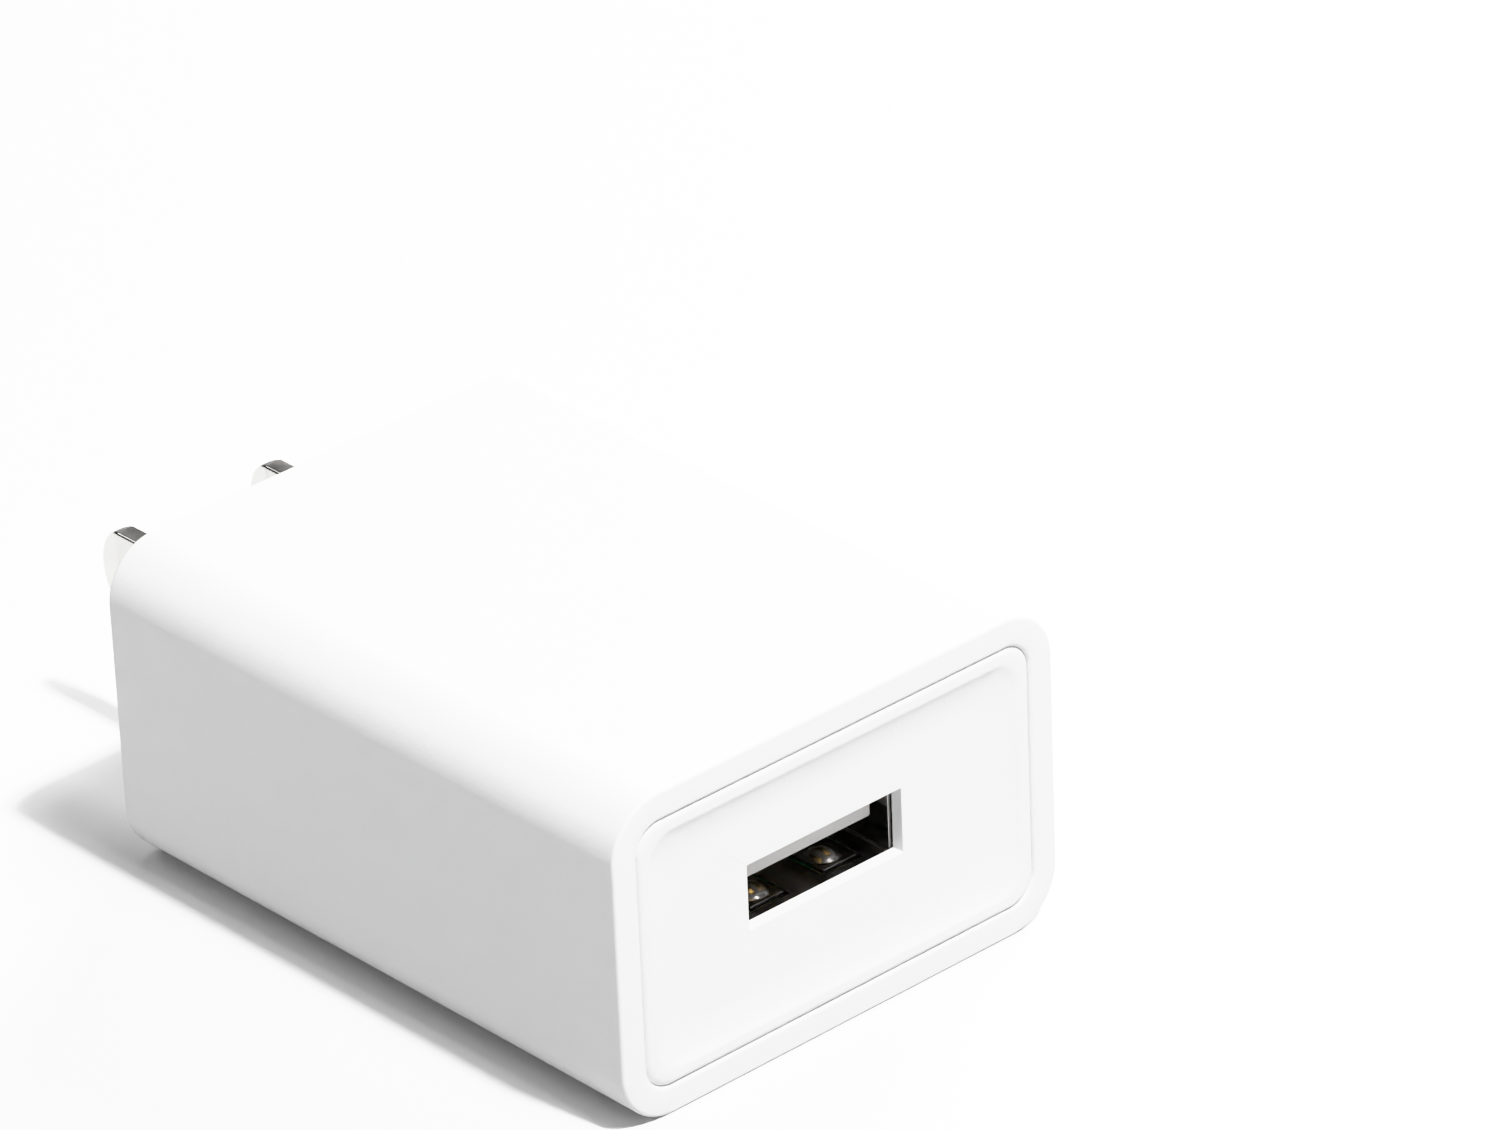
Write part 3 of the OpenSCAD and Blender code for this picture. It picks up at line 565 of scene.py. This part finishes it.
# ---- Transformer pins: tinned posts pressed into the bobbin's two rails ----
# They carry the windings' ends down through the board, where they are soldered.
tinned = textured("tinned_copper", 1300, (0.56, 0.56, 0.55), (0.68, 0.68, 0.66), (0.2, 0.38),
                  stretch=(1, 1, 0.15), Metallic=1.0)
pins = eased_copy("transformer_pins", "winding_pins", tinned, 0.06 * MM)
assemble(pins, "tinned_wire", "transformer_pins")


# ---- Electrolytic capacitors: drawn aluminium cans, crimped onto rubber bungs by a rolled groove ----
# The closed end is scored with a cross that vents. The two mains-side cans lie down in shrunk navy film.
def turn_profile(bm, profile, place, steps=48, closed=False):
    """Spins points of radius and height a full turn round Z, then moves the result by the matrix place."""
    before = set(bm.verts)
    verts = [bm.verts.new((radius, 0, height)) for radius, height in profile]
    edges = [bm.edges.new(pair) for pair in zip(verts, verts[1:] + verts[:1] if closed else verts[1:])]
    bmesh.ops.spin(bm, geom=verts + edges, cent=(0, 0, 0), axis=(0, 0, 1), angle=2 * pi, steps=steps,
                   use_merge=True)
    bmesh.ops.remove_doubles(bm, verts=[v for v in bm.verts if v not in before], dist=1e-7)
    made = [v for v in bm.verts if v not in before]
    bmesh.ops.transform(bm, matrix=place, verts=made)
    return made


def score_vent(bm, disc, arm, width, depth):
    """Presses a cross into a flat disc that faces along Z and is centred on the Z axis."""
    for way in (Vector((1, 0, 0)), Vector((0, 1, 0))):
        for offset in (-arm, -width / 2, width / 2, arm):
            zone = [f for f in bm.faces if abs(f.calc_center_median().z - disc) < 1e-6]
            cut = set(zone) | {e for f in zone for e in f.edges} | {v for f in zone for v in f.verts}
            bmesh.ops.bisect_plane(bm, geom=list(cut), plane_co=way * offset, plane_no=way)
    cross = []
    for face in bm.faces:
        centre = face.calc_center_median()
        across, reach = sorted((abs(centre.x), abs(centre.y)))
        if abs(centre.z - disc) < 1e-6 and across < width / 2 and reach < arm:
            cross.append(face)
    made = bmesh.ops.extrude_face_region(bm, geom=cross)["geom"]
    bmesh.ops.translate(bm, verts=[g for g in made if isinstance(g, bmesh.types.BMVert)], vec=(0, 0, -depth))


CAN_EDGE = 0.5 * MM


def capacitor_can(name, node, place, radius, length):
    """The can, with its open end at z 0 and its closed end at z length before it is placed. Its crimped lip
    and its groove are points in millimetres outside its radius and above its open end."""
    bm = bmesh.new()
    lip = [(0, 1.5), (-0.45, 1.5), (-0.45, 0.12), (-0.36, 0.02), (-0.18, 0), (-0.04, 0.1), (0, 0.25),
           (0, 0.85)]
    roll = [(-0.12, 1.02), (-0.3, 1.14), (-0.35, 1.25), (-0.3, 1.36), (-0.12, 1.48), (0, 1.65)]
    profile = [(0, lip[0][1] * MM)] + [(radius + r * MM, h * MM) for r, h in lip[1:] + roll]
    for i in range(6):
        angle = radians(90) * i / 5
        profile.append((radius - CAN_EDGE * (1 - cos(angle)), length - CAN_EDGE * (1 - sin(angle))))
    turn_profile(bm, profile, Matrix.Identity(4))
    bmesh.ops.holes_fill(bm, edges=[e for e in bm.edges if e.is_boundary])
    score_vent(bm, length, 0.6 * radius, 0.22 * MM, 0.1 * MM)
    bmesh.ops.transform(bm, matrix=place, verts=bm.verts)
    can = add_piece(name, bm, aluminium)
    assemble(can, "can_aluminium", node)


aluminium = textured("drawn_aluminium", 1500, (0.72, 0.72, 0.73), (0.82, 0.82, 0.83), (0.2, 0.34),
                     stretch=(1, 1, 0.12), Metallic=1.0)
rubber = textured("bung_rubber", 3000, (0.016, 0.016, 0.016), (0.03, 0.03, 0.03), (0.6, 0.8), 0.01 * MM)


INK_BLUR, DASH_PITCH, DASH_W = 0.02 * MM, 2.6 * MM, 0.44 * MM


def shrunk_film(name, middle, radius):
    """Navy film with one pale stripe along the can, broken by dark dashes, on the side that faces up."""
    film = new_finish(name, Coat_Weight=0.5, Coat_Roughness=0.15)
    tree = film.node_tree
    nodes, links = tree.nodes, tree.links
    spot = nodes.new("ShaderNodeTexCoord")
    mapping = nodes.new("ShaderNodeMapping")
    mapping.vector_type = "TEXTURE"
    mapping.inputs["Location"].default_value = middle
    mapping.inputs["Rotation"].default_value = (0, radians(-28), 0)
    split = nodes.new("ShaderNodeSeparateXYZ")
    links.new(spot.outputs["Object"], mapping.inputs["Vector"])
    links.new(mapping.outputs["Vector"], split.inputs["Vector"])

    def step(value, edge):
        """Turns from 0 to 1 where the value passes an edge, with the blur of printed ink."""
        return remap(film, value, 0, 1, edge - INK_BLUR, edge + INK_BLUR)

    stripe = step(split.outputs["Z"], 0.9 * radius)
    across = math_node(tree, "ABSOLUTE", split.outputs["X"])
    repeat = math_node(tree, "PINGPONG", split.outputs["Y"], DASH_PITCH / 2)
    narrow = math_node(tree, "SUBTRACT", 1, step(across, DASH_W / 2))
    dash = math_node(tree, "MULTIPLY", step(repeat, 0.75 * MM), narrow)
    paint = math_node(tree, "SUBTRACT", stripe, math_node(tree, "MULTIPLY", stripe, dash))
    drive(film, mix_colours(film, paint, (0.012, 0.018, 0.06), (0.42, 0.44, 0.48)), "Base Color")
    wrinkle = add_noise(film, 500, 3, stretch=(1, 0.3, 1))
    drive(film, remap(film, wrinkle, 0.22, 0.36), "Roughness")
    emboss(film, wrinkle, 0.02 * MM)
    return film


def film_sleeve(name, node, place, radius, length, finish):
    """The film: it follows the can's side, sinks a little into the groove, and turns in over the closed
    end. Each point is a radius, a height and the angle in which the film's thickness lies over it."""
    skin = [(0, 0.3, 0), (0, 0.95, 0), (-0.12, 1.13, 0), (-0.16, 1.25, 0), (-0.12, 1.37, 0), (0, 1.6, 0)]
    skin = [(radius + r * MM, h * MM, angle) for r, h, angle in skin]
    for angle in range(0, 91, 15):
        across, up = cos(radians(angle)), sin(radians(angle))
        skin.append((radius - CAN_EDGE * (1 - across), length - CAN_EDGE * (1 - up), angle))
    skin.append((radius - 1.15 * MM, length, 90))
    profile = []
    for lift, points in ((0.13 * MM, skin), (0.01 * MM, skin[::-1])):
        profile += [(r + lift * cos(radians(a)), h + lift * sin(radians(a))) for r, h, a in points]
    bm = bmesh.new()
    turn_profile(bm, profile, place, closed=True)
    sleeve = add_piece(name, bm, finish)
    assemble(sleeve, "capacitor_sleeve", node)


for side in ("left", "right"):
    node = "input_capacitor_" + side
    low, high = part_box(node)
    axis = Vector(((low.x + high.x) / 2, high.y, (low.z + high.z) / 2))
    place = Matrix.Translation(axis) @ Matrix.Rotation(radians(90), 4, "X")
    radius, length = (high.x - low.x) / 2, high.y - low.y
    capacitor_can("input_can_" + side, node, place, radius, length)
    film = shrunk_film("navy_film_" + side, axis, radius)
    film_sleeve("input_sleeve_" + side, node + "_sleeve", place, radius, length, film)
    bung = eased_copy(node + "_bung", "input_bung_" + side, rubber, 0.15 * MM, segments=3)
    assemble(bung, "bung_rubber", node + "_bung")

for end in ("front", "rear"):
    node = "output_capacitor_" + end
    low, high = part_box(node)
    place = Matrix.Translation(((low.x + high.x) / 2, (low.y + high.y) / 2, low.z))
    capacitor_can("output_can_" + end, node, place, (high.x - low.x) / 2, high.z - low.z)
    bung = eased_copy(node + "_bung", "output_bung_" + end, rubber, 0.15 * MM, segments=3)
    assemble(bung, "bung_rubber", node + "_bung")


# ---- Y capacitor: a ceramic disc dipped in blue resin, which has run a little way down its two legs ----
blue_resin = textured("dipped_resin", 700, (0.012, 0.09, 0.42), (0.02, 0.13, 0.52), (0.16, 0.28), 0.03 * MM,
                      Coat_Weight=0.6, Coat_Roughness=0.08)
low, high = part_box("y_capacitor")
middle = (low + high) / 2
half_t, disc_r = (high.x - low.x) / 2, (high.z - low.z) / 2 - 0.04 * MM
bm = bmesh.new()
swell = []
for i in range(17):
    angle = radians(90 - 180 * i / 16)
    way = 1 if angle > 0 else -1
    swell.append((disc_r * abs(cos(angle)) ** 0.5, way * 0.95 * half_t * abs(sin(angle)) ** 0.8))
turn_profile(bm, swell, Matrix.Translation(middle) @ Matrix.Rotation(radians(90), 4, "Y"), steps=64)
for side in (-1, 1):
    run = [(0, 2.4), (0.8, 2.2), (0.62, 1.5), (0.42, 0.8), (0.33, 0.2), (0.3, 0), (0, 0)]
    foot = Matrix.Translation((middle.x, middle.y + side * 2.5 * MM, low.z - 0.1 * MM))
    turn_profile(bm, [(r * MM, h * MM) for r, h in run], foot, steps=24)
bm.normal_update()
for v in bm.verts:
    v.co += v.normal * 0.03 * MM * noise.noise(v.co * 900)
disc = add_piece("dipped_disc", bm, blue_resin)
assemble(disc, "blue_resin", "y_capacitor")


# ---- Fusible resistor and input choke: two small parts with a wire out of each end ----
# The resistor is a lacquered rod with coloured bands. The choke is a coil under shrunk black tube.
def axial_part(name, node, finish, slot, shape):
    """Spins a shape, the radius at each fraction of the length, along the node's own length."""
    low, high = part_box(node)
    radius, length = (high.x - low.x) / 2, high.y - low.y
    foot = Matrix.Translation(((low.x + high.x) / 2, high.y, (low.z + high.z) / 2))
    profile = [(0, 0)] + [(radius * shape(i / 60), length * i / 60) for i in range(61)] + [(0, length)]
    bm = bmesh.new()
    turn_profile(bm, profile, foot @ Matrix.Rotation(radians(90), 4, "X"), steps=40)
    part = add_piece(name, bm, finish, sharp=60)
    assemble(part, slot, node)


def round_ends(t, reach):
    """Falls from 1 to about 0.6 in a quarter circle over the last reach of each end."""
    near = min(t, 1 - t, reach) / reach
    return 0.6 + 0.4 * (1 - (1 - near) ** 2) ** 0.5


def rod_shape(t):
    """A rod with a cap pressed on each end, which stands out a little."""
    return round_ends(t, 0.09) * (0.9 + 0.1 * cos(2 * pi * min(max(t, 0.12), 0.88)) ** 2)


def coil_shape(t):
    """Tube shrunk over a coil of 13 turns."""
    return round_ends(t, 0.12) * (0.955 + 0.03 * cos(2 * pi * 13 * t))


lacquer = new_finish("banded_lacquer", Coat_Weight=0.4, Coat_Roughness=0.12)
low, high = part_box("fusible_resistor")
nodes, links = lacquer.node_tree.nodes, lacquer.node_tree.links
place = nodes.new("ShaderNodeTexCoord")
along = nodes.new("ShaderNodeSeparateXYZ")
links.new(place.outputs["Object"], along.inputs["Vector"])
bands = nodes.new("ShaderNodeValToRGB")
bands.color_ramp.interpolation = "CONSTANT"
GREEN = (0.045, 0.16, 0.10)
stops = [(0.22, (0.14, 0.035, 0.01)), (0.30, GREEN), (0.38, (0.008, 0.008, 0.008)), (0.46, GREEN),
         (0.54, (0.30, 0.012, 0.01)), (0.62, GREEN), (0.74, (0.50, 0.33, 0.08)), (0.82, GREEN)]
bands.color_ramp.elements[0].color = (*GREEN, 1)
bands.color_ramp.elements.remove(bands.color_ramp.elements[1])
for stop, colour in stops:
    bands.color_ramp.elements.new(stop).color = (*colour, 1)
links.new(remap(lacquer, along.outputs["Y"], 0, 1, low.y, high.y), bands.inputs["Fac"])
drive(lacquer, bands.outputs["Color"], "Base Color")
brushed = add_noise(lacquer, 1500, 3)
drive(lacquer, remap(lacquer, brushed, 0.3, 0.48), "Roughness")
emboss(lacquer, brushed, 0.02 * MM)
axial_part("banded_resistor", "fusible_resistor", lacquer, "green_lacquer", rod_shape)

sleeving = textured("shrunk_tube", 900, (0.014, 0.014, 0.015), (0.026, 0.026, 0.027), (0.4, 0.55),
                    0.008 * MM)
axial_part("sleeved_choke", "input_choke", sleeving, "black_sleeving", coil_shape)


# ---- Chips: three blocks of black moulded epoxy, the rectifier on the board and two under it ----
# Each has drafted sides that meet at the mould's parting line, and a round pocket that marks its first lead.
epoxy = textured("moulded_epoxy", 2800, (0.016, 0.016, 0.018), (0.034, 0.034, 0.036), (0.5, 0.72),
                 0.012 * MM)


def punch_pocket(bm, face, middle, radius, depth):
    """Sinks a round pocket into a flat face that looks up or down."""
    rim, way = list(face.edges), face.normal.copy()
    bmesh.ops.delete(bm, geom=[face], context="FACES_ONLY")
    place = Matrix.Translation(middle)
    ring = bmesh.ops.create_circle(bm, segments=24, radius=radius, matrix=place)["verts"]
    loop = list({e for v in ring for e in v.link_edges})
    bmesh.ops.triangle_fill(bm, edges=rim + loop, use_beauty=True, normal=way)
    made = bmesh.ops.extrude_edge_only(bm, edges=loop)["geom"]
    floor = [g for g in made if isinstance(g, bmesh.types.BMVert)]
    bmesh.ops.translate(bm, verts=floor, vec=-way * depth)
    bmesh.ops.contextual_create(bm, geom=floor)


def moulded_chip(name, node, outwards):
    """The node's block with drafted sides. Outwards is 1 where its marked face looks up, -1 where down."""
    low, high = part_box(node)
    middle = (low + high) / 2
    bm = bmesh.new()
    box_between(bm, low, high)
    whole = bm.verts[:] + bm.edges[:] + bm.faces[:]
    bmesh.ops.bisect_plane(bm, geom=whole, plane_co=middle, plane_no=(0, 0, 1))
    draft = 0.09 * (high.z - low.z)
    for v in bm.verts:
        if abs(v.co.z - middle.z) > 0.01 * MM:
            v.co.x -= draft if v.co.x > middle.x else -draft
            v.co.y -= draft if v.co.y > middle.y else -draft
    creases = [e for e in bm.edges if e.calc_face_angle() > CREASE]
    bmesh.ops.bevel(bm, geom=creases, offset=0.06 * MM, segments=2, profile=0.5, affect="EDGES",
                    material=-1)
    bm.normal_update()
    marked = max(bm.faces, key=lambda f: f.normal.z * outwards * f.calc_area())
    spot = Vector((low.x + 0.95 * MM, low.y + 0.95 * MM, marked.calc_center_median().z))
    punch_pocket(bm, marked, spot, 0.3 * MM, 0.06 * MM)
    chip = add_piece(name, bm, epoxy)
    assemble(chip, "chip_moulding", node)


moulded_chip("rectifier_block", "bridge_rectifier", 1)
moulded_chip("controller_block", "controller_chip", -1)
moulded_chip("diode_block", "output_diode", -1)
leads = eased_copy("chip_leads", "gull_leads", tinned, 0.03 * MM)
assemble(leads, "tinned_wire", "chip_leads")


# ---- Chip resistors and chip capacitors: tiny ceramic blocks soldered under the board by their ends ----
# A resistor is a white alumina tile with black glass over it. A capacitor is one block of tan ceramic.
def solids(node):
    """The points of each separate solid in a CAD node, in order of place."""
    bm = bmesh.new()
    bm.from_mesh(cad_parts[node].data)
    bmesh.ops.remove_doubles(bm, verts=bm.verts, dist=1e-7)
    waiting, found = set(bm.verts), []
    while waiting:
        reached, group = [waiting.pop()], []
        while reached:
            v = reached.pop()
            group.append(v.co.copy())
            joined = [e.other_vert(v) for e in v.link_edges if e.other_vert(v) in waiting]
            waiting.difference_update(joined)
            reached += joined
        found.append(group)
    bm.free()
    return sorted(found, key=lambda group: tuple(round(n, 6) for n in corners(group)[0]))


def corners(points):
    """The lowest and highest corners of the box round some points."""
    return Vector([min(n) for n in zip(*points)]), Vector([max(n) for n in zip(*points)])


def wrapped_chips(name, node, slot, end_l, *finishes):
    """Each block with its two metal ends and their solder. A third finish adds a glass cover on its free
    face."""
    bm = bmesh.new()
    proud = 0.02 * MM
    for group in solids(node):
        low, high = corners(group)
        inset = Vector((proud, proud, proud))
        box_between(bm, low + inset, high - inset)
        for v0, v1, way in ((low.y, low.y + end_l, -1), (high.y - end_l, high.y, 1)):
            for v in box_between(bm, (low.x, v0, low.z), (high.x, v1, high.z)):
                for face in v.link_faces:
                    face.material_index = 1
            outer = v1 if way > 0 else v0
            wedge = box_between(bm, (low.x + 0.05 * MM, min(outer, outer + way * end_l), low.z + 0.1 * MM),
                                (high.x - 0.05 * MM, max(outer, outer + way * end_l), high.z))
            for v in wedge:
                if (v.co.y - outer) * way > 0.01 * MM and v.co.z < high.z - 0.01 * MM:
                    v.co.y = outer + way * 0.02 * MM
                for face in v.link_faces:
                    face.material_index = 1
        if len(finishes) > 2:
            cover = box_between(bm, (low.x + 0.05 * MM, low.y + end_l + 0.04 * MM, low.z - proud),
                                (high.x - 0.05 * MM, high.y - end_l - 0.04 * MM, low.z + 0.1 * MM))
            for v in cover:
                for face in v.link_faces:
                    face.material_index = 2
    bmesh.ops.bevel(bm, geom=bm.edges[:], offset=0.02 * MM, segments=1, profile=0.5, affect="EDGES",
                    material=-1)
    piece = add_piece(name, bm, *finishes)
    assemble(piece, slot, node)


alumina = textured("alumina_tile", 3000, (0.70, 0.70, 0.68), (0.80, 0.80, 0.78), (0.5, 0.65), 0.006 * MM)
cover_glass = textured("black_glass", 2500, (0.012, 0.012, 0.014), (0.022, 0.022, 0.026), (0.15, 0.3),
                       0.004 * MM)
tan_ceramic = textured("tan_ceramic", 2600, (0.36, 0.22, 0.11), (0.46, 0.30, 0.17), (0.35, 0.5), 0.006 * MM)
solder = textured("bright_solder", 1900, (0.58, 0.59, 0.60), (0.72, 0.73, 0.74), (0.14, 0.3), 0.01 * MM,
                  Metallic=1.0)
wrapped_chips("resistor_tiles", "chip_resistors", "chip_resistor_body", 0.35 * MM, alumina, solder,
              cover_glass)
wrapped_chips("capacitor_blocks", "chip_capacitors", "chip_capacitor_body", 0.5 * MM, tan_ceramic, solder)


# ---- Component leads: tinned copper wire, bent down over a round tool and cut off under the board ----
# Each one runs through its own hole in the board and is soldered on the other side.
WIRE_R, BEND_R = 0.3 * MM, 0.7 * MM


def carry(bm, edges, vec):
    """Extrudes a ring of edges by a vector and returns the new ring's edges."""
    made = bmesh.ops.extrude_edge_only(bm, edges=edges)["geom"]
    bmesh.ops.translate(bm, verts=[g for g in made if isinstance(g, bmesh.types.BMVert)], vec=vec)
    ends = {g for g in made if isinstance(g, bmesh.types.BMVert)}
    return [g for g in made if isinstance(g, bmesh.types.BMEdge) and set(g.verts) <= ends]


bm = bmesh.new()
for group in solids("component_leads"):
    low, high = corners(group)
    feet = [p for p in group if p.z < low.z + 0.01 * MM]
    foot = sum(feet, Vector()) / len(feet)
    bent = high.y - low.y > 3 * WIRE_R
    way = 1 if foot.y > (low.y + high.y) / 2 else -1
    start, turn = Vector((*foot.xy, high.z)), Matrix.Identity(4)
    if bent:
        start = Vector((foot.x, low.y if way > 0 else high.y, high.z - WIRE_R))
        turn = Matrix.Rotation(radians(90), 4, "X")
    place = Matrix.Translation(start) @ turn
    ring = bmesh.ops.create_circle(bm, segments=16, radius=WIRE_R, matrix=place)["verts"]
    edges = list({e for v in ring for e in v.link_edges})
    drop = start.z - low.z
    if bent:
        edges = carry(bm, edges, (0, foot.y - way * BEND_R - start.y, 0))
        centre = Vector((foot.x, foot.y - way * BEND_R, start.z - BEND_R))
        geom = edges + list({v for e in edges for v in e.verts})
        made = bmesh.ops.spin(bm, geom=geom, cent=centre, axis=(-way, 0, 0), angle=radians(90), steps=8)
        edges = [g for g in made["geom_last"] if isinstance(g, bmesh.types.BMEdge)]
        drop -= BEND_R
    carry(bm, edges, (0, 0, -drop))
bmesh.ops.holes_fill(bm, edges=[e for e in bm.edges if e.is_boundary])
wires = add_piece("bent_leads", bm, tinned)
assemble(wires, "tinned_wire", "component_leads")


# ---- Solder joints: a bright concave cone round each lead, on a round pad ----
# Molten solder climbs the wire a little way and sets in a hollow curve between the wire and the pad.
bm = bmesh.new()
JOINT_R, JOINT_H, TOP_R = 0.88 * MM, 0.8 * MM, 0.33 * MM
cone = [(0, 0), (0.95 * MM, 0), (0.95 * MM, 0.04 * MM)]
for i in range(9):
    rise = i / 8
    cone.append((TOP_R + (JOINT_R - TOP_R) * (1 - rise) ** 2.4, 0.04 * MM + (JOINT_H - 0.04 * MM) * rise))
cone.append((0, JOINT_H + 0.03 * MM))
for group in solids("solder_joints"):
    low, high = corners(group)
    upside_down = Matrix.Translation(((low.x + high.x) / 2, (low.y + high.y) / 2, high.z)) \
        @ Matrix.Rotation(pi, 4, "X")
    turn_profile(bm, cone, upside_down, steps=24)
joints = add_piece("solder_cones", bm, solder)
assemble(joints, "solder", "solder_joints")


# ---- Insulating sheet: stiff pressed-fibre paper that lies on the casing's floor under the board ----
# It keeps the live solder joints away from the casing, and is cut from a roll with a die.
fish_paper = textured("fish_paper", 1300, (0.52, 0.47, 0.34), (0.64, 0.59, 0.45), (0.65, 0.85), 0.02 * MM,
                      stretch=(1, 0.25, 1))
sheet = eased_copy("insulating_sheet", "fibre_sheet", fish_paper, 0.03 * MM)
assemble(sheet, "insulating_paper", "insulating_sheet")
